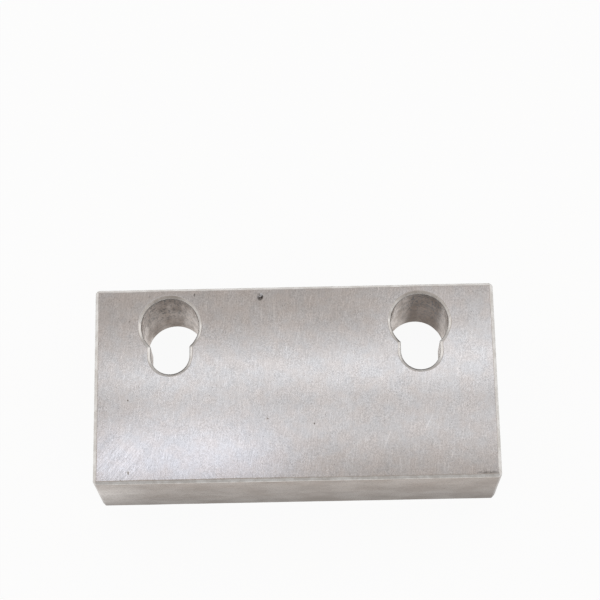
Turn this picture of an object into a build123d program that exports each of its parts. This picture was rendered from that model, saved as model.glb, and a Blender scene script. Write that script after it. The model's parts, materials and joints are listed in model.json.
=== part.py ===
"""Machinable soft jaw for a milling vise: one aluminium block with two keyholes for cap screws.

Millimetres. The jaw lies on its working face with its back up, as it is laid on a bench. X runs along
its length, Y across its height towards the edge that stands on the vise's bed, and Z through its
thickness. The origin is the middle of the working face.

The heads of the vise's two screws pass through the round entries from the back. The jaw then drops
towards the bed until the shanks reach the ends of the slots, where the heads, sunk in pockets that
open at the working face, pull on the web that the slots are cut in.
"""
import os

from build123d import *

# Block, a stock size in inches: 4 long, 2 high, 1 thick
JAW_LENGTH = 101.6
JAW_HEIGHT = 50.8
JAW_THICKNESS = 25.4
EDGE_BREAK = 0.75

# Screws that the keyholes are made for: 3/8 in socket head cap screws, 2 1/2 in apart
SCREW_SPACING = 63.5
SHANK_DIAMETER = 9.525
HEAD_DIAMETER = 14.29

# Keyholes, with clearances on the diameter. The wall stands between a head pocket and the bed edge,
# and the web is what the heads pull on.
ENTRY_CLEARANCE = 0.4
SLOT_CLEARANCE = 0.4
POCKET_CLEARANCE = 0.8
WALL_AT_BED_EDGE = 2.35
DROP = 7.8
WEB_THICKNESS = 9.525
RIM_BREAK = 0.7

# Dent in the back, near the bed edge, struck by something round
DENT_WIDTH = 1.5
DENT_DEPTH = 0.22
DENT_FROM_MIDDLE = -8.45
DENT_FROM_BED_EDGE = 3.0

# Worked out from the sizes above
BED_EDGE_Y = JAW_HEIGHT / 2
ENTRY_RADIUS = (HEAD_DIAMETER + ENTRY_CLEARANCE) / 2
SLOT_RADIUS = (SHANK_DIAMETER + SLOT_CLEARANCE) / 2
POCKET_RADIUS = (HEAD_DIAMETER + POCKET_CLEARANCE) / 2
POCKET_DEPTH = JAW_THICKNESS - WEB_THICKNESS
ENTRY_Y = BED_EDGE_Y - WALL_AT_BED_EDGE - POCKET_RADIUS


def run_of_circle(radius):
    """Outline of all the places of a circle that drops from the entry's centre to the slot's end."""
    slot = SlotCenterToCenter(DROP, 2 * radius, rotation=90)
    return Pos(0, -DROP / 2) * slot


def screw_opening():
    """What one screw needs cut away: the keyhole through the block and the pocket for its head."""
    keyhole = Circle(ENTRY_RADIUS) + run_of_circle(SLOT_RADIUS)
    pocket = run_of_circle(POCKET_RADIUS)
    return extrude(keyhole, JAW_THICKNESS) + extrude(pocket, POCKET_DEPTH)


def rims(face):
    """Edges of the holes in a face."""
    return [edge for wire in face.inner_wires() for edge in wire.edges()]


def dent():
    """Ball that leaves a dent of the stated width and depth in the back."""
    radius = ((DENT_WIDTH / 2) ** 2 + DENT_DEPTH ** 2) / (2 * DENT_DEPTH)
    height = JAW_THICKNESS + radius - DENT_DEPTH
    return Pos(DENT_FROM_MIDDLE, BED_EDGE_Y - DENT_FROM_BED_EDGE, height) * Sphere(radius)


def soft_jaw():
    """Block with all its edges broken, then the screw openings with their rims broken, then the dent."""
    block = Pos(0, 0, JAW_THICKNESS / 2) * Box(JAW_LENGTH, JAW_HEIGHT, JAW_THICKNESS)
    jaw = chamfer(block.edges(), EDGE_BREAK)
    for side in (-1, 1):
        jaw -= Pos(side * SCREW_SPACING / 2, ENTRY_Y) * screw_opening()
    level = jaw.faces().filter_by(Axis.Z).sort_by(Axis.Z)
    jaw = chamfer(rims(level[0]) + rims(level[-1]), RIM_BREAK)
    return jaw - dent()


os.makedirs("parts", exist_ok=True)
export_step(soft_jaw(), "parts/soft_jaw.step")
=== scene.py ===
"""Looks of the machinable soft jaw: its skin as a fine mesh with hand-broken edges, the finish that each
step of its making left on it, and a pale studio around it. Metres, in the frame of the solid.
"""
import json
import math

import bmesh
import bpy
import numpy as np
from mathutils import Matrix, Vector, geometry, noise


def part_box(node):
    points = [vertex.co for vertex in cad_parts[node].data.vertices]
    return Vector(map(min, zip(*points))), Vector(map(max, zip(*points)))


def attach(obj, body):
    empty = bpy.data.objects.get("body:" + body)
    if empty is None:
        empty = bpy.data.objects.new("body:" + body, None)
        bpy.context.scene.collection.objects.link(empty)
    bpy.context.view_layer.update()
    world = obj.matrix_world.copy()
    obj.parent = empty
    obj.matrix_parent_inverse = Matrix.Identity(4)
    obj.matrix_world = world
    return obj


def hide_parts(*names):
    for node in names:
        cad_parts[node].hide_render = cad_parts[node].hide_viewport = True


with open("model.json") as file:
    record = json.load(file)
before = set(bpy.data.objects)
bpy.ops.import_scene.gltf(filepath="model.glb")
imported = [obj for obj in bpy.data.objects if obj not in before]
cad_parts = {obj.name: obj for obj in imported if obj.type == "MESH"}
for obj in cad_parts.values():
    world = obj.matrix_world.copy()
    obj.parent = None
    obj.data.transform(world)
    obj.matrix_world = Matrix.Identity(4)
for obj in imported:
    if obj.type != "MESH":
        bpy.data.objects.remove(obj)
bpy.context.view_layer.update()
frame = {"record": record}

MM = 0.001

# Sizes that the frame gives
LOW, HIGH = (np.array(corner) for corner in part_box("soft_jaw"))
MOUNTS = {mount["name"]: mount for mount in frame["record"]["mounts"]}
ENTRY_RADIUS = MOUNTS["head_entries"]["dims"]["hole_r_mm"] * MM
SPACING = MOUNTS["head_entries"]["dims"]["spacing_x_mm"] * MM
ENTRY_Y = MOUNTS["head_entries"]["pos_m"][1]
SEAT_Y, LEDGE_Z = MOUNTS["screw_seats"]["pos_m"][1:]

# Sizes of the solid that its mounts don't state
SLOT_RADIUS = 4.9625 * MM
POCKET_RADIUS = 7.545 * MM
EDGE_BREAK = 0.75 * MM
RIM_BREAK = 0.7 * MM

# Broken edges of the block: lines of the skin beside an edge, in shares of its break, and the waves that a
# hand tool left in the break, which grow from the middle of a side towards its corners
EDGE_LINES = np.array([0.78, 1, 1.25])
EDGE_WAVE = 0.22
EDGE_WAVE_LENGTH = 9 * MM
EDGE_WAVE_GROWTH = 1.2

# Rim of a hole, from the face into the hole: shares of the rim's width left, and of its depth reached. Its
# first step lies on the face, and its last one on the wall.
RIM_PROFILE = ((1.2, 0), (1, 0), (0.92, 0.05), (0.12, 0.56), (0.03, 0.66), (0, 0.78), (0, 0.9), (0, 1.3))
RIM_STEPS = len(RIM_PROFILE) - 3
RIM_WAVE = 0.15
RIM_WAVE_LENGTH = 3 * MM

# How fine the skin is: step round the block, rows up its sides and along the walls of the openings, and
# steps along the arcs and the straight runs of the keyholes and of the head pockets
SKIN_STEP = 0.8 * MM
SIDE_ROWS = 12
WALL_ROWS = 8
ENTRY_STEPS = 84
SLOT_STEPS = 40
SLOT_RUN_STEPS = 4
POCKET_STEPS = 56
POCKET_RUN_STEPS = 10

# Slots of the jaw's finishes
BACK, EDGES, SIDES, WALLS, WORKING = range(5)

# Marks in the back, in millimetres: place from the jaw's middle, half width, half length, depth, and how
# much dirt is in them
MARKS = (
    (-37.0, 23.4, 0.28, 0.45, 0.04, 0.4),
    (-25.5, 23.6, 0.22, 0.58, 0.05, 0.7),
    (-21.9, 22.8, 0.18, 0.28, 0.05, 0.4),
    (-42.0, 16.8, 0.24, 0.36, 0.06, 0.5),
    (-42.3, -4.0, 0.24, 0.26, 0.05, 0.5),
    (-7.2, -9.4, 0.30, 0.22, 0.03, 0.15),
    (4.5, -10.95, 0.24, 0.24, 0.05, 0.65),
    (-42.0, -22.7, 0.22, 0.50, 0.05, 0.35),
)

# Points of a mark or dent: rings in shares of its half size, the last one level with the back, and points
# on each ring
PIT_RINGS = np.append(np.linspace(0.12, 1, 9), 1.15)
PIT_POINTS = 24

# Dent in the back, near the bed edge, in millimetres: a horseshoe, deepest at its lower right. Its line,
# and how far the painted shade in it lies from that line, are shares of its half size.
DENT_PLACE = (-8.75, 22.75)
DENT_HALF_SIZE = (0.85, 1.1)
DENT_DEPTH = 0.07
DENT_DEEPEST = math.radians(-60)
DENT_LINE = 0.5
DENT_LINE_WIDTH = 0.34
DENT_SHADE_CORE = 0.25
DENT_SHADE_RIM = 0.55

# Specks of dirt all over the back: spacing in millimetres, core and rim in shares of that, and strength
SPECK_SPACING = 2.6
SPECK_CORE = 0.03
SPECK_RIM = 0.055
SPECK_DIRT = 0.4

# Smudge of dirt on the back, along its edge at one corner: place and half size in millimetres, and strength
SMUDGE_PLACE = (47.3, -24.25)
SMUDGE_HALF_SIZE = (3.1, 0.4)
SMUDGE_DIRT = 0.65

# Core and rim of a mark, smudge or scratch, between which it fades, in shares of its half size
SPOT_CORE = 0.3
SPOT_RIM = 1.1

# Light scratches in the back, in millimetres: place of the middle, half length, and slant in degrees
SCRATCHES = (
    (-8.4, 17.6, 1.5, 0),
    (-2.2, 8.9, 2.5, -5),
    (22.8, -15.0, 4.0, 22),
    (32.9, -11.6, 3.3, 27),
    (38.7, -19.5, 1.8, 25),
    (-22.5, 20.4, 2.0, 0),
    (-5.2, 18.4, 3.5, 0),
)
SCRATCH_HALF_WIDTH = 0.16
SCRATCH_TONE = 0.22

# Slant of the grinding belt's streaks, in degrees, and the corner of the back with a bunch of scratches
# that slant more: place, core and rim in millimetres
BELT_SLANT = -8
BUNCH_SLANT = -38
BUNCH_PLACE = (-46, -20)
BUNCH_CORE = 4
BUNCH_RIM = 14
BUNCH_TONE = 0.14

# Near side, away from the bed edge, in millimetres: heights between which its painted shade fades, a darker
# reflection that is darkest towards the working face, how far round the corners it reaches, and the spot of
# painted light at its left end: height, core, rim, and how much narrower the spot is on the end than along
# the side
NEAR_SHADE_HEIGHTS = (2, 24)
NEAR_SHADE_REACH = (0.1, 0.9)
LIT_SPOT_HEIGHT = 14
LIT_SPOT_CORE = 2
LIT_SPOT_RIM = 15
LIT_SPOT_NARROWING = 4

# Painted shade, brown, on the walls of the two screw openings, in millimetres: place from the jaw's middle,
# and strength. Each fades from its core to its rim, and its specks of dirt fade downwards between two
# heights.
WALL_SHADE_SPOTS = ((-33.4, 22.6, 0.72), (34.0, 22.4, 0.98))
WALL_SHADE_CORE = 3.5
WALL_SHADE_RIM = 7.5
WALL_SPECK_HEIGHTS = (4, 15)

# Darkening of the same walls, in millimetres: painted shade along the seam where the two cutters met, and a
# dark band under the rims in the back, which fades between two depths
SEAM_CORE = 0.1
SEAM_RIM = 0.3
SEAM_SHADE = 0.5
UNDER_RIM_DEPTHS = (1, 1.8)
UNDER_RIM_DARKENING = 0.55

# Fly cutter that faced the working face, in millimetres: its radius, the usual distance between its uneven
# ridges, drawn coarse enough to show, and where along the jaw they begin to be crossed, and are in full
CUTTER_RADIUS = 72
CUTTER_TRAVEL = 1.2
CROSSED_FROM = 12
CROSSED_IN_FULL = 26

# Floor: how far it reaches, and the share of plain white in it as the camera and the metal see it. The rest
# keeps the jaw's shadow.
FLOOR_REACH = 3.0
FLOOR_GLOW = 0.94

# Overhead lamps, a little cooler than the room: middle, size, radiance, tint, and turn in degrees. They
# hang one a little above another, because lamps that overlap at one height would hide each other.
COOL_WHITE = (0.88, 0.96, 1.06)
BLUE_WHITE = (0.86, 0.95, 1.16)
LAMP_HEIGHT = 0.8
LAMP_GAP = 0.001
OVERHEAD_LAMPS = {
    "overhead_left": ((-0.092, 0.168), (0.143, 0.018), 0.76, BLUE_WHITE, 0),
    "overhead_left_edge": ((-0.092, 0.186), (0.143, 0.018), 0.42, BLUE_WHITE, 0),
    "overhead_wide": ((0.105, 0.194), (0.49, 0.034), 0.39, COOL_WHITE, 0),
    "overhead_wide_edge": ((0.105, 0.226), (0.49, 0.030), 0.13, COOL_WHITE, 0),
    "overhead_strip": ((0.10, 0.237), (0.5, 0.018), 0.70, COOL_WHITE, 1.1),
    "overhead_strip_edge": ((0.10, 0.255), (0.5, 0.018), 0.36, COOL_WHITE, 1.1),
    "overhead_right": ((0.131, 0.270), (0.14, 0.043), 0.27, COOL_WHITE, 0),
}

# Lamps at the two sides, behind the jaw
SIDE_LAMPS = {"left_box": (-0.85, 0.45, 0.5), "right_box": (0.85, 0.45, 0.5)}
SIDE_LAMP_SIZE = (0.5, 0.6)
SIDE_LAMP_RADIANCE = 0.42

# Camera, at the photograph's viewing angle: angles in degrees, sizes in metres
IMAGE_PIXELS = 600
FOCAL_PIXELS = 1937
SENSOR = 36.0
CAMERA_AZIMUTH = 1.05
CAMERA_ELEVATION = 71.78
CAMERA_ROLL = -2.17
CAMERA_DISTANCE = 0.5078
CAMERA_AIM = (0.00139, 0.02582, 0.0127)
CAMERA_NEAREST = 0.01


# Skin of the jaw

def uneven(points, amount, size):
    """Factors about 1 that wander along a line of points, with waves of about that size."""
    return np.array([1 + amount * noise.noise(Vector(p) / size) for p in points])


def block_outline():
    """Points round the sharp block, counter-clockwise, closer together where its corners are broken."""
    half = (HIGH - LOW)[:2] / 2
    corners = np.array([(-1, -1), (1, -1), (1, 1), (-1, 1)]) * half
    close = EDGE_BREAK * np.append(0, EDGE_LINES)
    points = []
    for start, end in zip(corners, np.roll(corners, -1, axis=0)):
        length = np.linalg.norm(end - start)
        count = round((length - 2 * close[-1]) / SKIN_STEP)
        middle = np.linspace(close[-1], length - close[-1], count + 1)[1:-1]
        steps = np.concatenate([close, middle, length - close[:0:-1]])
        points += [start + (end - start) * step / length for step in steps]
    return np.array(points)


def break_edges(points, width):
    """Moves points of a sharp block's skin to where they lie once its edges are broken at 45 degrees."""
    centre, half = (LOW + HIGH) / 2, (HIGH - LOW) / 2
    width = width[:, None]
    offset = points - centre
    reach = np.clip(np.abs(offset) - (half - width), 0, None) / width
    two_largest = reach.sum(1) - reach.min(1)
    reach /= np.maximum(two_largest, 1)[:, None]
    inner = np.minimum(np.abs(offset), half - width)
    return centre + np.sign(offset) * (inner + reach * width)


def block_loops():
    """Loops of the block's skin from the working face, up its sides and over onto the back, and the finish
    from each loop to the next."""
    outline = block_outline()
    half = (HIGH - LOW)[:2] / 2
    growth = np.clip((np.abs(outline) / half).min(axis=1) * EDGE_WAVE_GROWTH, 0, 1)
    towards_edge, from_edge = EDGE_LINES[::-1], EDGE_LINES
    loops, finishes = [], []

    def add_loop(inset, height, width, finish):
        inset = np.broadcast_to(inset, len(outline))
        height = np.broadcast_to(height, len(outline))
        plan = outline * (1 - inset[:, None] / half)
        loops.append(break_edges(np.column_stack([plan, height]), width))
        finishes.append(finish)

    def edge_width(height):
        edge = np.column_stack([outline, np.full(len(outline), height)])
        return EDGE_BREAK * (1 + (uneven(edge, EDGE_WAVE, EDGE_WAVE_LENGTH) - 1) * growth)

    lower, upper = edge_width(LOW[2]), edge_width(HIGH[2])
    for share, finish in zip(towards_edge, (WORKING, EDGES, EDGES)):
        add_loop(lower * share, LOW[2], lower, finish)
    add_loop(0, LOW[2], lower, EDGES)
    for share, finish in zip(from_edge, (EDGES, SIDES, SIDES)):
        add_loop(0, LOW[2] + lower * share, lower, finish)
    for height in np.linspace(LOW[2], HIGH[2], SIDE_ROWS)[1:-1]:
        add_loop(0, height, np.full(len(outline), EDGE_BREAK), SIDES)
    for share, finish in zip(towards_edge, (SIDES, EDGES, EDGES)):
        add_loop(0, HIGH[2] - upper * share, upper, finish)
    add_loop(0, HIGH[2], upper, EDGES)
    for share, finish in zip(from_edge, (EDGES, BACK, BACK)):
        add_loop(upper * share, HIGH[2], upper, finish)
    return loops, finishes


def arc(y, radius, start, end, count):
    """Points of an arc about a centre on the keyhole's middle line."""
    turn = np.linspace(start, end, count + 1)
    return np.column_stack([radius * np.cos(turn), y + radius * np.sin(turn)])


def run(start, end, count):
    """Points between two ends of a straight run, without the ends."""
    share = np.linspace(0, 1, count + 1)[1:-1, None]
    return np.array(start) * (1 - share) + np.array(end) * share


def keyhole(grow):
    """Outline of a keyhole about its middle line, counter-clockwise, pushed out into the metal by grow."""
    entry, slot = ENTRY_RADIUS + grow, SLOT_RADIUS + grow
    turn = math.asin(slot / entry)
    meet = ENTRY_Y - entry * math.cos(turn)
    return np.concatenate([
        arc(ENTRY_Y, entry, turn - math.pi / 2, 3 * math.pi / 2 - turn, ENTRY_STEPS),
        run((-slot, meet), (-slot, SEAT_Y), SLOT_RUN_STEPS),
        arc(SEAT_Y, slot, math.pi, 2 * math.pi, SLOT_STEPS),
        run((slot, SEAT_Y), (slot, meet), SLOT_RUN_STEPS),
    ])


def head_pocket(grow):
    """Outline of a head pocket about its middle line, counter-clockwise, pushed out by grow."""
    radius = POCKET_RADIUS + grow
    return np.concatenate([
        arc(ENTRY_Y, radius, 0, math.pi, POCKET_STEPS),
        run((-radius, ENTRY_Y), (-radius, SEAT_Y), POCKET_RUN_STEPS),
        arc(SEAT_Y, radius, math.pi, 2 * math.pi, POCKET_STEPS),
        run((radius, SEAT_Y), (radius, ENTRY_Y), POCKET_RUN_STEPS),
    ])


def hole_loops(outline, middle, face, inner):
    """Loops of a hole's skin, from the face that it opens in, over its broken rim, to its inner end."""
    plain, wide = outline(0), outline(RIM_BREAK)
    into = np.sign(inner - face)
    rim = np.column_stack([plain + (middle, 0), np.full(len(plain), face)])
    wave = uneven(rim, RIM_WAVE, RIM_WAVE_LENGTH)
    loops = []

    def add_loop(grow, depth):
        plan = plain + (wide - plain) * np.broadcast_to(grow, len(plain))[:, None]
        height = face + into * np.broadcast_to(depth, len(plain))
        loops.append(np.column_stack([plan[:, 0] + middle, plan[:, 1], height]))

    for grow, depth in RIM_PROFILE:
        add_loop(grow * wave, depth * RIM_BREAK * wave)
    for depth in np.linspace(2 * RIM_BREAK, abs(inner - face), WALL_ROWS):
        add_loop(0, depth)
    return loops


def bowl(share, turn):
    """Form of a mark, by the share of its half size and the turn about its middle: a smooth bowl."""
    return (1 - share ** 2) ** 2


def horseshoe(share, turn):
    """Form of the dent, which is level again at its rim."""
    off_line = (share - DENT_LINE) / DENT_LINE_WIDTH
    towards_deepest = 0.5 + 0.5 * math.cos(turn - DENT_DEEPEST)
    return math.exp(-off_line ** 2) * towards_deepest * (1 - share ** 8)


def pitted(place, half_size, depth, form):
    """Points of a small pit in the back, whose form gives the share of its depth at each of them."""
    points = [(*place, depth * form(0, 0))]
    for share in PIT_RINGS:
        for turn in np.linspace(0, 2 * math.pi, PIT_POINTS, endpoint=False):
            x = place[0] + half_size[0] * share * math.cos(turn)
            y = place[1] + half_size[1] * share * math.sin(turn)
            points.append((x, y, depth * form(min(share, 1), turn)))
    return [(x * MM, y * MM, HIGH[2] - down * MM) for x, y, down in points]


def struck_places():
    """Points of the back's marks and of its dent."""
    points = []
    for x, y, half_width, half_length, depth, _ in MARKS:
        points += pitted((x, y), (half_width, half_length), depth, bowl)
    return points + pitted(DENT_PLACE, DENT_HALF_SIZE, DENT_DEPTH, horseshoe)


class Skin:
    """A mesh in the making: skins between loops, level fills, and their finishes."""

    def __init__(self):
        self.mesh = bmesh.new()
        self.grain = self.mesh.loops.layers.uv.new("grain")

    def loop(self, points):
        return [self.mesh.verts.new(point) for point in points]

    def face(self, corners, finish, grain):
        made = self.mesh.faces.new(corners)
        made.material_index = finish
        made.smooth = True
        for corner, place in zip(made.loops, grain):
            corner[self.grain].uv = place

    def between(self, loops, finishes):
        """Quads from each loop to the next. The grain runs along the loops."""
        count = len(loops[0])
        for lower, upper, finish in zip(loops, loops[1:], finishes):
            for i in range(count):
                j = (i + 1) % count
                corners = (lower[i], lower[j], upper[j], upper[i])
                along = (i, i + 1, i + 1, i)
                grain = [(corner.co.z / MM, step) for corner, step in zip(corners, along)]
                self.face(corners, finish, grain)

    def fill(self, finish, outer, holes=(), dents=()):
        """Level face inside a loop and round its holes, with extra points where it is dented."""
        corners, outlines = [], []
        for loop in (outer, *holes):
            outlines.append(list(range(len(corners), len(corners) + len(loop))))
            corners += loop
        corners += self.loop(dents)
        plan = [corner.co.xy / MM for corner in corners]
        inside_only, tolerance, with_owners = 1, 1e-6, True
        filled = geometry.delaunay_2d_cdt(plan, [], outlines, inside_only, tolerance, with_owners)
        _, _, faces, origins, _, owners = filled
        for face, owner in zip(faces, owners):
            # A triangle in a hole belongs to the hole's outline as well as to the outer one
            if owner == [0]:
                found = [corners[origins[i][0]] for i in face]
                self.face(found, finish, [corner.co.xy / MM for corner in found])

    def sharpen(self, line):
        for a, b in zip(line, line[1:]):
            self.mesh.edges.get((a, b)).smooth = False


def jaw_skin():
    """The jaw's whole skin as one closed mesh."""
    skin = Skin()
    loops, finishes = block_loops()
    block = [skin.loop(points) for points in loops]
    skin.between(block, finishes)
    back_rims, working_rims = [], []
    for side in (-1, 1):
        middle = side * SPACING / 2
        upper = [skin.loop(points) for points in hole_loops(keyhole, middle, HIGH[2], LEDGE_Z)]
        lower = [skin.loop(points) for points in hole_loops(head_pocket, middle, LOW[2], LEDGE_Z)]
        for loops, face in ((upper, BACK), (lower, WORKING)):
            wall_steps = len(loops) - RIM_STEPS - 2
            skin.between(loops, [face] + [EDGES] * RIM_STEPS + [WALLS] * wall_steps)
        skin.fill(WALLS, lower[-1], [upper[-1]])
        for loop in (upper[-1], lower[-1]):
            skin.sharpen(loop + loop[:1])
        # The slot meets the round entry in a sharp line on each side
        for meeting in (0, ENTRY_STEPS):
            skin.sharpen([loop[meeting] for loop in upper])
        back_rims.append(upper[0])
        working_rims.append(lower[0])
    skin.fill(BACK, block[-1], back_rims, struck_places())
    skin.fill(WORKING, block[0], working_rims)
    bmesh.ops.recalc_face_normals(skin.mesh, faces=skin.mesh.faces)
    data = bpy.data.meshes.new("jaw_skin")
    skin.mesh.to_mesh(data)
    skin.mesh.free()
    made = bpy.data.objects.new("jaw_skin", data)
    bpy.context.scene.collection.objects.link(made)
    return made


# Finishes

# Inputs of a Mix node for the colours that it mixes from and to
FROM, TO = 6, 7


def colour(code):
    """Linear colour of an sRGB hex value."""
    parts = [int(code[i:i + 2], 16) / 255 for i in (1, 3, 5)]
    return [p / 12.92 if p <= 0.04045 else ((p + 0.055) / 1.055) ** 2.4 for p in parts] + [1]


def add(tree, kind, inputs=None, **settings):
    """Adds a node with its settings and what feeds its inputs: plain values, sockets or other nodes."""
    made = tree.nodes.new("ShaderNode" + kind)
    for name, value in settings.items():
        setattr(made, name, value)
    for name, value in (inputs or {}).items():
        if isinstance(value, bpy.types.Node):
            value = next(socket for socket in value.outputs if socket.enabled)
        if isinstance(value, bpy.types.NodeSocket):
            tree.links.new(value, made.inputs[name])
        else:
            made.inputs[name].default_value = value
    return made


def bare_aluminium(name, anisotropy=0.0):
    """A new finish of bare aluminium: its material, node tree, shader, and its places in millimetres."""
    made = bpy.data.materials.new(name)
    made.use_nodes = True
    tree = made.node_tree
    shader = tree.nodes["Principled BSDF"]
    shader.inputs["Metallic"].default_value = 1
    shader.inputs["Anisotropic"].default_value = anisotropy
    across = add(tree, "Tangent", direction_type="UV_MAP", uv_map="grain")
    tree.links.new(across.outputs[0], shader.inputs["Tangent"])
    local = add(tree, "TexCoord").outputs["Object"]
    place = add(tree, "VectorMath", {0: local, "Scale": 1 / MM}, operation="SCALE")
    return made, tree, shader, place


def clouds(tree, place, size, low, high, detail=2, turn=0, start=0.3, end=0.7):
    """Values that wander from low to high, in lumps of that size in millimetres along each axis, turned
    about Z by an angle in degrees. A later start leaves more of the surface low."""
    lie = {0: place, "Rotation": (0, 0, math.radians(turn)), "Scale": size}
    laid = add(tree, "Mapping", lie, vector_type="TEXTURE")
    lumps = add(tree, "TexNoise", {"Vector": laid, "Scale": 1, "Detail": detail, "Roughness": 0.6})
    span = {0: lumps, "From Min": start, "From Max": end, "To Min": low, "To Max": high}
    return add(tree, "MapRange", span, interpolation_type="SMOOTHSTEP")


def dress(tree, shader, base, roughness, relief, depth):
    """Gives a shader its colour, its roughness and relief of that depth in millimetres."""
    bump = add(tree, "Bump", {"Height": relief, "Strength": 1, "Distance": depth * MM})
    tree.links.new(base.outputs["Result"], shader.inputs["Base Color"])
    tree.links.new(roughness.outputs["Result"], shader.inputs["Roughness"])
    tree.links.new(bump.outputs["Normal"], shader.inputs["Normal"])


def near_spot(tree, place, middle, half_size, share, slant=0):
    """A share at the middle of a long spot on the back, which fades to 0 at the spot's rim."""
    spot = {0: place, "Location": (*middle, HIGH[2] / MM), "Rotation": (0, 0, -math.radians(slant)),
            "Scale": (*half_size, 1)}
    within = add(tree, "Mapping", spot, vector_type="TEXTURE")
    away = add(tree, "VectorMath", {0: within}, operation="LENGTH")
    return add(tree, "MapRange", {0: away, "From Min": SPOT_RIM, "From Max": SPOT_CORE, "To Max": share})


def painted_shade_in_dent(tree, place):
    """Painted shade along the line of the back's dent, from 0 to 1: most where the dent is deepest."""
    dent = {0: place, "Location": (*DENT_PLACE, HIGH[2] / MM), "Scale": (*DENT_HALF_SIZE, 1)}
    within = add(tree, "Mapping", dent, vector_type="TEXTURE")
    away = add(tree, "VectorMath", {0: within}, operation="LENGTH")
    off_line = add(tree, "Math", {0: away, 1: DENT_LINE}, operation="SUBTRACT")
    off_line = add(tree, "Math", {0: off_line}, operation="ABSOLUTE")
    # Painted shade: the dark that the dent reflects, laid along its line as colour
    dirt_and_shade = add(tree, "MapRange", {0: off_line, "From Min": DENT_SHADE_RIM, "From Max": DENT_SHADE_CORE})
    deepest = (math.cos(DENT_DEEPEST), math.sin(DENT_DEEPEST), 0)
    towards = add(tree, "VectorMath", {0: within, 1: deepest}, operation="DOT_PRODUCT").outputs["Value"]
    # Less than half of it lies on the side away from the deepest part
    struck = add(tree, "MapRange", {0: towards, "From Min": -0.6, "From Max": 0.2, "To Min": 0.45})
    dirt_and_shade = add(tree, "Math", {0: dirt_and_shade, 1: struck}, operation="MULTIPLY")
    patchy = clouds(tree, place, (0.7, 0.7, 0.7), low=0.7, high=1, detail=1, start=0.4, end=0.6)
    return add(tree, "Math", {0: dirt_and_shade, 1: patchy}, operation="MULTIPLY")


def dirt_and_shade_on_back(tree, place):
    """How dark the back is made, from 0 to 1: dirt in specks, marks and a smudge, and painted shade in its
    dent.
    """
    cells = add(tree, "TexVoronoi", {"Vector": place, "Scale": 1 / SPECK_SPACING}, voronoi_dimensions="2D")
    speck = add(tree, "MapRange", {0: cells, "From Min": SPECK_RIM, "From Max": SPECK_CORE})
    # Only a cell whose own tint is light enough holds a speck
    tint = {0: cells.outputs["Color"], "From Min": 0.6, "From Max": 0.65, "To Max": SPECK_DIRT}
    dirt_and_shade = add(tree, "Math", {0: speck, 1: add(tree, "MapRange", tint)}, operation="MULTIPLY")
    for x, y, half_width, half_length, _, share in MARKS:
        mark = near_spot(tree, place, (x, y), (half_width, half_length), share)
        dirt_and_shade = add(tree, "Math", {0: dirt_and_shade, 1: mark}, operation="MAXIMUM")
    smudge = near_spot(tree, place, SMUDGE_PLACE, SMUDGE_HALF_SIZE, SMUDGE_DIRT)
    patchy = clouds(tree, place, (0.9, 0.6, 0.6), low=0.25, high=1, start=0.42, end=0.58)
    smudge = add(tree, "Math", {0: smudge, 1: patchy}, operation="MULTIPLY")
    dirt_and_shade = add(tree, "Math", {0: dirt_and_shade, 1: smudge}, operation="MAXIMUM")
    return add(tree, "Math", {0: dirt_and_shade, 1: painted_shade_in_dent(tree, place)}, operation="MAXIMUM")


def scratch_lines(tree, place, tone):
    """Adds to a tone the light lines of the back's scratches: single ones, fine ones all over that follow
    the belt, and a bunch that slants in the lower left corner."""
    for x, y, half_length, slant in SCRATCHES:
        line = near_spot(tree, place, (x, y), (SCRATCH_HALF_WIDTH, half_length), SCRATCH_TONE, slant)
        tone = add(tree, "Math", {0: tone, 1: line}, operation="ADD")
    fine = clouds(tree, place, (0.2, 5, 5), low=0, high=0.16, detail=1, turn=BELT_SLANT, start=0.6)
    tone = add(tree, "Math", {0: tone, 1: fine}, operation="ADD")
    bunch = clouds(tree, place, (0.28, 6, 6), low=0, high=1, detail=1, turn=BUNCH_SLANT,
                   start=0.42, end=0.6)
    bunch_place = (*BUNCH_PLACE, HIGH[2] / MM)
    away = add(tree, "VectorMath", {0: place, 1: bunch_place}, operation="DISTANCE")
    fade = {0: away, "From Min": BUNCH_RIM, "From Max": BUNCH_CORE, "To Max": BUNCH_TONE}
    scratched = add(tree, "MapRange", fade)
    return add(tree, "Math", {0: bunch, 1: scratched, 2: tone}, operation="MULTIPLY_ADD")


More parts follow.
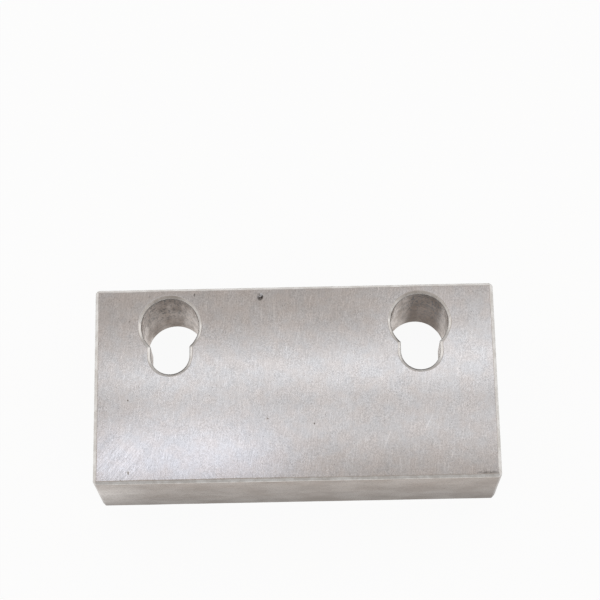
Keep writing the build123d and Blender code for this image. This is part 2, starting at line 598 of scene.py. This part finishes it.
def ground_back():
    """Aluminium ground on a belt, then handled: satin, with short streaks across the jaw, faint stains and
    specks, marks with dirt in them, and slanting scratches in one corner. Streaks and grain are drawn
    coarser than the belt's own, so that they show."""
    made, tree, shader, place = bare_aluminium("ground_aluminium_back", anisotropy=0.6)
    mottle = clouds(tree, place, (3.5, 3.5, 3.5), low=0, high=1, detail=3)
    tone_patch = clouds(tree, place, (16, 9, 9), low=0.96, high=1.03)
    streaks = clouds(tree, place, (0.3, 2.6, 2.6), low=0.94, high=1.04, detail=3, turn=BELT_SLANT)
    worn = clouds(tree, place, (5, 5, 5), low=0.5, high=1.2)
    grain = clouds(tree, place, (0.34, 0.46, 0.46), low=-0.16, high=0.11, detail=3)
    grain = add(tree, "Math", {0: grain, 1: worn, 2: 1}, operation="MULTIPLY_ADD")
    rubbed = add(tree, "Math", {0: streaks, 1: grain}, operation="MULTIPLY")
    tone = add(tree, "Math", {0: rubbed, 1: tone_patch}, operation="MULTIPLY")
    tone = scratch_lines(tree, place, tone)
    dirt_and_shade = dirt_and_shade_on_back(tree, place)

    base = add(tree, "Mix", {0: mottle, FROM: colour("#DAD5D2"), TO: colour("#D8D7D7")}, data_type="RGBA")
    base = add(tree, "Mix", {0: 1, FROM: base, TO: tone}, data_type="RGBA", blend_type="MULTIPLY")
    # One dark colour for the dirt in specks, marks and the smudge, and for the painted shade in the dent
    base = add(tree, "Mix", {0: dirt_and_shade, FROM: base, TO: colour("#332C27")}, data_type="RGBA")
    roughness = clouds(tree, place, (0.26, 0.36, 0.36), low=0.1, high=0.13, detail=3)
    dress(tree, shader, base, roughness, relief=rubbed, depth=0.002)
    return made


def filed_edges():
    """Aluminium edges broken with a hand file: bright and satin, in uneven facets that catch the light here
    and there."""
    made, tree, shader, place = bare_aluminium("filed_aluminium_edges")
    facets = clouds(tree, place, (2, 2, 2), low=0, high=1, detail=3)
    base = add(tree, "Mix", {0: facets, FROM: colour("#CAC5C0"), TO: colour("#E2DFDC")}, data_type="RGBA")
    roughness = clouds(tree, place, (1.2, 1.2, 1.2), low=0.15, high=0.25, detail=3)
    dress(tree, shader, base, roughness, relief=facets, depth=0.006)
    return made


def drawn_sides():
    """Aluminium sides as the bar was drawn and then handled: satin, duller and warmer than the faces, with
    lines round the jaw, drawn coarser than real ones so that they show. The near side is speckled, darker
    in painted shade most towards the working face, and has a spot of painted light near one corner."""
    made, tree, shader, place = bare_aluminium("drawn_aluminium_sides", anisotropy=0.5)
    xyz = add(tree, "SeparateXYZ", {0: place}).outputs
    near = LOW[1] / MM
    reach_start, reach_end = (near + reach for reach in NEAR_SHADE_REACH)
    elsewhere = add(tree, "MapRange", {0: xyz["Y"], "From Min": reach_start, "From Max": reach_end})
    low, high = NEAR_SHADE_HEIGHTS
    rise = add(tree, "MapRange", {0: xyz["Z"], "From Min": low, "From Max": high})
    lines = clouds(tree, place, (16, 16, 0.26), low=0.86, high=1.08, detail=3)
    grain = clouds(tree, place, (0.34, 0.34, 0.34), low=0.9, high=1.08, detail=3)
    tone_patch = clouds(tree, place, (11, 11, 7), low=0.93, high=1.05, detail=3)
    drawn = add(tree, "Math", {0: lines, 1: grain}, operation="MULTIPLY")
    tone = add(tree, "Math", {0: drawn, 1: tone_patch}, operation="MULTIPLY")

    plain = add(tree, "MapRange", {0: elsewhere, "To Max": 0.85})
    dirty = add(tree, "MapRange", {0: elsewhere, "To Min": 0.26, "To Max": 0.08})
    specks = clouds(tree, place, (0.45, 0.45, 0.6), low=0, high=1, detail=3, start=0.52, end=0.62)
    specks = add(tree, "Math", {0: specks, 1: dirty}, operation="MULTIPLY")
    # Painted light at the near side's left end, where light from the left is reflected
    narrowed = (1, LIT_SPOT_NARROWING, 1)
    corner = (LOW[0] / MM, LIT_SPOT_NARROWING * near, LIT_SPOT_HEIGHT)
    along = add(tree, "VectorMath", {0: place, 1: narrowed}, operation="MULTIPLY")
    away = add(tree, "VectorMath", {0: along, 1: corner}, operation="DISTANCE")
    painted_light = add(tree, "MapRange", {0: away, "From Min": LIT_SPOT_RIM, "From Max": LIT_SPOT_CORE, "To Max": 0.6})

    # Painted shade on the near side: a darker reflection, darkest towards the working face
    base = add(tree, "Mix", {0: rise, FROM: colour("#72665C"), TO: colour("#A5988E")}, data_type="RGBA")
    base = add(tree, "Mix", {0: plain, FROM: base, TO: colour("#C5C0BC")}, data_type="RGBA")
    # Painted light: a paler colour in that spot
    base = add(tree, "Mix", {0: painted_light, FROM: base, TO: colour("#E4DED9")}, data_type="RGBA")
    base = add(tree, "Mix", {0: 1, FROM: base, TO: tone}, data_type="RGBA", blend_type="MULTIPLY")
    base = add(tree, "Mix", {0: specks, FROM: base, TO: colour("#5F554C")}, data_type="RGBA")
    roughness = clouds(tree, place, (9, 9, 6), low=0.24, high=0.33, detail=3)
    dress(tree, shader, base, roughness, relief=drawn, depth=0.004)
    return made


def painted_shade_on_walls(tree, place):
    """Painted shade on the walls of the screw openings, from 0 to 1, about each of its spots."""
    plan = add(tree, "VectorMath", {0: place, 1: (1, 1, 0)}, operation="MULTIPLY")
    wall_shade = 0
    for x, y, strength in WALL_SHADE_SPOTS:
        away = add(tree, "VectorMath", {0: plan, 1: (x, y, 0)}, operation="DISTANCE")
        tone_patch = {0: away, "From Min": WALL_SHADE_RIM, "From Max": WALL_SHADE_CORE, "To Max": strength}
        wall_shade = add(tree, "Math", {0: wall_shade, 1: add(tree, "MapRange", tone_patch)}, operation="MAXIMUM")
    return wall_shade


def dirt_and_shade_on_walls(tree, place, wall_shade):
    """How dark the walls of the screw openings are made, from 0 to 1: dirt in specks, most in the painted
    shade and high up, painted shade along the seam where the two cutters met, and a dark band under the
    back's rims."""
    height = add(tree, "SeparateXYZ", {0: place}).outputs["Z"]
    low, high = WALL_SPECK_HEIGHTS
    upper = add(tree, "MapRange", {0: height, "From Min": low, "From Max": high, "To Min": 0.2})
    thick = add(tree, "MapRange", {0: wall_shade, "To Min": 0.2})
    thick = add(tree, "Math", {0: thick, 1: upper}, operation="MULTIPLY")
    specks = clouds(tree, place, (0.55, 0.55, 1.2), low=0, high=1, start=0.545, end=0.59)
    specks = add(tree, "Math", {0: specks, 1: thick}, operation="MULTIPLY")
    # Painted shade along the step where the two cutters met, where the wall below is set back
    step = add(tree, "Math", {0: height, 1: LEDGE_Z / MM}, operation="SUBTRACT")
    step = add(tree, "Math", {0: step}, operation="ABSOLUTE")
    seam = {0: step, "From Min": SEAM_RIM, "From Max": SEAM_CORE, "To Max": SEAM_SHADE}
    dirt_and_shade = add(tree, "Math", {0: specks, 1: add(tree, "MapRange", seam)}, operation="MAXIMUM")
    # Darker band just under the back's rims, fading between two depths
    thickest, thinnest = (HIGH[2] / MM - depth for depth in UNDER_RIM_DEPTHS)
    under_rim = {0: height, "From Min": thinnest, "From Max": thickest, "To Max": UNDER_RIM_DARKENING}
    return add(tree, "Math", {0: dirt_and_shade, 1: add(tree, "MapRange", under_rim)}, operation="MAXIMUM")


def bored_walls():
    """Aluminium walls of the screw openings as a cutter left them: hazy, with rings round each opening,
    brown painted shade, and dirt. Rings and specks of dirt are drawn coarse enough to show."""
    made, tree, shader, place = bare_aluminium("bored_aluminium_walls")
    rings = clouds(tree, place, (20, 20, 1.8), low=0.84, high=1.08)
    haze = clouds(tree, place, (3, 3, 9), low=0, high=1)
    grain = clouds(tree, place, (0.5, 0.5, 0.8), low=0.8, high=1.16)
    tone = add(tree, "Math", {0: rings, 1: grain}, operation="MULTIPLY")
    wall_shade = painted_shade_on_walls(tree, place)
    dirt_and_shade = dirt_and_shade_on_walls(tree, place, wall_shade)

    base = add(tree, "Mix", {0: haze, FROM: colour("#A99C92"), TO: colour("#D8CDC5")}, data_type="RGBA")
    # Painted shade, in brown, about each spot on the walls
    base = add(tree, "Mix", {0: wall_shade, FROM: base, TO: colour("#5F4C3D")}, data_type="RGBA")
    base = add(tree, "Mix", {0: 1, FROM: base, TO: tone}, data_type="RGBA", blend_type="MULTIPLY")
    # One dark colour for the specks of dirt, the painted shade along the seam and the band under the rims
    base = add(tree, "Mix", {0: dirt_and_shade, FROM: base, TO: colour("#221B17")}, data_type="RGBA")
    roughness = clouds(tree, place, (3, 3, 9), low=0.42, high=0.32)
    dress(tree, shader, base, roughness, relief=rings, depth=0.05)
    return made


def cutter_arcs(tree, x, y, bulge):
    """Uneven ridges of a fly cutter, from 0 to 1, in arcs that bulge towards +X or -X."""
    drop = add(tree, "Math", {0: y, 1: y}, operation="MULTIPLY")
    drop = add(tree, "Math", {0: CUTTER_RADIUS ** 2, 1: drop}, operation="SUBTRACT")
    drop = add(tree, "Math", {0: drop}, operation="SQRT")
    travel = add(tree, "Math", {0: drop, 1: -bulge, 2: x}, operation="MULTIPLY_ADD")
    wander = {"W": travel, "Scale": 1 / CUTTER_TRAVEL, "Detail": 1}
    ridges = add(tree, "TexNoise", wander, noise_dimensions="1D")
    return add(tree, "MapRange", {0: ridges, "From Min": 0.35, "From Max": 0.65})


def fly_cut_face():
    """Aluminium working face as a fly cutter left it: bright, with arcs all along, crossed at one end where
    the cutter's trailing edge marked them again."""
    made, tree, shader, place = bare_aluminium("fly_cut_aluminium_face", anisotropy=0.3)
    wander = clouds(tree, place, (12, 12, 12), low=-0.4, high=0.4)
    xyz = add(tree, "SeparateXYZ", {0: place}).outputs
    x = add(tree, "Math", {0: xyz["X"], 1: wander}, operation="ADD")
    y = xyz["Y"]
    crossed = add(tree, "MapRange", {0: x, "From Min": CROSSED_FROM, "From Max": CROSSED_IN_FULL})
    trailing = add(tree, "Math", {0: cutter_arcs(tree, x, y, -1), 1: crossed}, operation="MULTIPLY")
    ridges = add(tree, "Math", {0: cutter_arcs(tree, x, y, 1), 1: trailing}, operation="ADD")
    grain = clouds(tree, place, (0.3, 0.4, 0.4), low=0.92, high=1.05, detail=3)
    tone = add(tree, "MapRange", {0: ridges, "From Max": 2, "To Min": 0.9, "To Max": 1.06})
    tone = add(tree, "Math", {0: tone, 1: grain}, operation="MULTIPLY")
    tone_patch = clouds(tree, place, (14, 9, 9), low=0, high=1, detail=3)
    base = add(tree, "Mix", {0: tone_patch, FROM: colour("#CFCAC6"), TO: colour("#DDDBD9")}, data_type="RGBA")
    base = add(tree, "Mix", {0: 1, FROM: base, TO: tone}, data_type="RGBA", blend_type="MULTIPLY")
    roughness = add(tree, "MapRange", {0: ridges, "From Max": 2, "To Min": 0.3, "To Max": 0.2})
    dress(tree, shader, base, roughness, relief=ridges, depth=0.008)
    return made


# Studio

def studio_floor():
    """Plain pale floor of white paper that the jaw lies on."""
    data = bpy.data.meshes.new("floor")
    corners = [(x * FLOOR_REACH, y * FLOOR_REACH, 0) for x, y in ((-1, -1), (1, -1), (1, 1), (-1, 1))]
    data.from_pydata(corners, [], [(0, 1, 2, 3)])
    floor = bpy.data.objects.new("floor", data)
    bpy.context.scene.collection.objects.link(floor)
    paper = bpy.data.materials.new("white_paper")
    paper.use_nodes = True
    tree = paper.node_tree
    shader = tree.nodes["Principled BSDF"]
    shader.inputs["Base Color"].default_value = colour("#F6F6F5")
    shader.inputs["Roughness"].default_value = 0.9
    rays = add(tree, "LightPath").outputs
    by_metal_or_glass = {0: rays["Is Glossy Ray"], 1: rays["Is Transmission Ray"]}
    mirrored = add(tree, "Math", by_metal_or_glass, operation="ADD")
    seen = add(tree, "Math", {0: rays["Is Camera Ray"], 1: mirrored}, operation="ADD")
    share = add(tree, "Math", {0: seen, 1: FLOOR_GLOW}, operation="MULTIPLY", use_clamp=True)
    glow = add(tree, "Emission", {"Color": (1, 1, 1, 1), "Strength": 1})
    mixed = add(tree, "MixShader", {0: share, 1: shader, 2: glow})
    tree.links.new(mixed.outputs[0], tree.nodes["Material Output"].inputs[0])
    data.materials.append(paper)


def soft_box(name, centre, aim, size, radiance, tint=(1, 1, 1), turn=0):
    """Soft lamp of that size and radiance, which shines at a point, turned by an angle in degrees."""
    data = bpy.data.lights.new(name, "AREA")
    data.shape = "RECTANGLE"
    data.size, data.size_y = size
    data.color = tint
    data.energy = radiance * math.pi * size[0] * size[1]
    lamp = bpy.data.objects.new(name, data)
    away = (Vector(centre) - Vector(aim)).normalized()
    facing = away.to_track_quat("Z", "Y").to_matrix().to_4x4()
    lamp.matrix_world = Matrix.Translation(centre) @ facing @ Matrix.Rotation(math.radians(turn), 4, "Z")
    lamp.visible_camera = False
    bpy.context.scene.collection.objects.link(lamp)


def studio_lamps():
    """Lamps overhead, which face straight down, and one lamp at each side."""
    for step, (name, ((x, y), size, radiance, tint, turn)) in enumerate(OVERHEAD_LAMPS.items()):
        height = HIGH[2] + LAMP_HEIGHT + step * LAMP_GAP
        soft_box(name, (x, y, height), (x, y, 0), size, radiance, tint, turn)
    for name, centre in SIDE_LAMPS.items():
        soft_box(name, centre, (0, 0, 0), SIDE_LAMP_SIZE, SIDE_LAMP_RADIANCE)


def studio_world():
    """Soft light from all round: palest low at the jaw's two ends, darker overhead, and half way up in
    front."""
    world = bpy.data.worlds.new("studio")
    bpy.context.scene.world = world
    world.use_nodes = True
    tree = world.node_tree
    towards = add(tree, "SeparateXYZ", {0: add(tree, "TexCoord").outputs["Generated"]}).outputs
    across = add(tree, "Math", {0: towards["Y"]}, operation="ABSOLUTE")
    across = add(tree, "MapRange", {0: across, "From Min": 0.3, "From Max": 0.9})
    front = add(tree, "MapRange", {0: towards["Y"], "From Min": -0.4, "From Max": -0.7})
    half_way = add(tree, "MapRange", {0: towards["Z"], "From Min": 0.3, "From Max": 0.5})
    overhead = add(tree, "MapRange", {0: towards["Z"], "From Min": 0.62, "From Max": 0.8})
    low = add(tree, "Mix", {0: across, FROM: colour("#E8E8E8"), TO: colour("#D0D0D0")}, data_type="RGBA")
    middle = add(tree, "Mix", {0: front, FROM: colour("#DEDBD8"), TO: colour("#B0ABA7")}, data_type="RGBA")
    sky = add(tree, "Mix", {0: half_way, FROM: low, TO: middle}, data_type="RGBA")
    sky = add(tree, "Mix", {0: overhead, FROM: sky, TO: colour("#C5BFBB")}, data_type="RGBA")
    tree.links.new(sky.outputs["Result"], tree.nodes["Background"].inputs["Color"])


def camera():
    """Camera at the photograph's viewing angle."""
    azimuth, elevation, roll = (math.radians(a) for a in (CAMERA_AZIMUTH, CAMERA_ELEVATION, CAMERA_ROLL))
    level = math.cos(elevation)
    back = Vector((math.sin(azimuth) * level, -math.cos(azimuth) * level, math.sin(elevation)))
    right = Vector((math.cos(azimuth), math.sin(azimuth), 0))
    up = back.cross(right)
    turned_right = right * math.cos(roll) + up * math.sin(roll)
    turned_up = up * math.cos(roll) - right * math.sin(roll)
    data = bpy.data.cameras.new("camera")
    data.sensor_width = SENSOR
    data.lens = FOCAL_PIXELS * SENSOR / IMAGE_PIXELS
    data.clip_start = CAMERA_NEAREST
    placed = bpy.data.objects.new("camera", data)
    facing = Matrix((turned_right, turned_up, back)).transposed().to_4x4()
    placed.matrix_world = Matrix.Translation(Vector(CAMERA_AIM) + back * CAMERA_DISTANCE) @ facing
    bpy.context.scene.collection.objects.link(placed)
    bpy.context.scene.camera = placed


jaw = jaw_skin()
for finish in (ground_back(), filed_edges(), drawn_sides(), bored_walls(), fly_cut_face()):
    jaw.data.materials.append(finish)
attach(jaw, "root")
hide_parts("soft_jaw")

studio_floor()
studio_world()
studio_lamps()
camera()
bpy.context.scene.view_settings.view_transform = "Standard"
